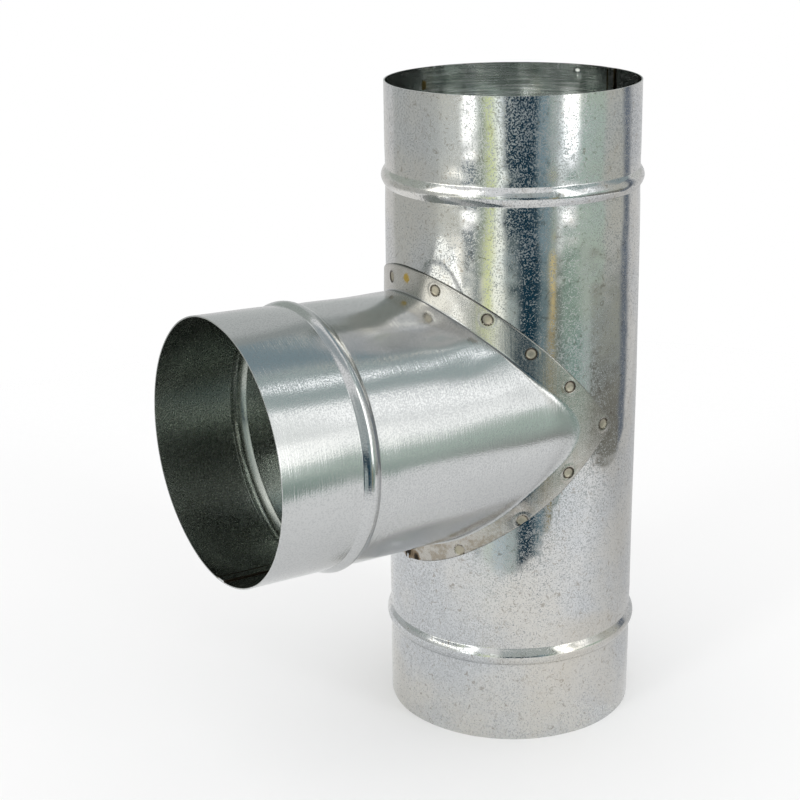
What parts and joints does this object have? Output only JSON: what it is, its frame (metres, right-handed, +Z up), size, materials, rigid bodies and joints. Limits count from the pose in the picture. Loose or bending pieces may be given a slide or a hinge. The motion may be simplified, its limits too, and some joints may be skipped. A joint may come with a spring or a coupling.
{
  "type": "galvanized duct tee",
  "caption": "Equal duct tee of galvanized sheet: a straight beaded run with a beaded branch collar spot welded to its side by a pointed saddle flange.",
  "frame": {"origin": "middle of the run's bottom rim", "axes": "+Z up along the run, +X along the branch towards its mouth"},
  "size_m": [0.1844, 0.1018, 0.254],
  "materials": {
    "run_sheet": "skin-passed zinc coating, mottled grey, half gloss",
    "collar_sheet": "skin-passed zinc coating, bright with fine hairlines round the tube"
  },
  "bodies": {
    "root": {"run_tube": "run_sheet", "branch_collar": "collar_sheet"}
  },
  "joints": []
}
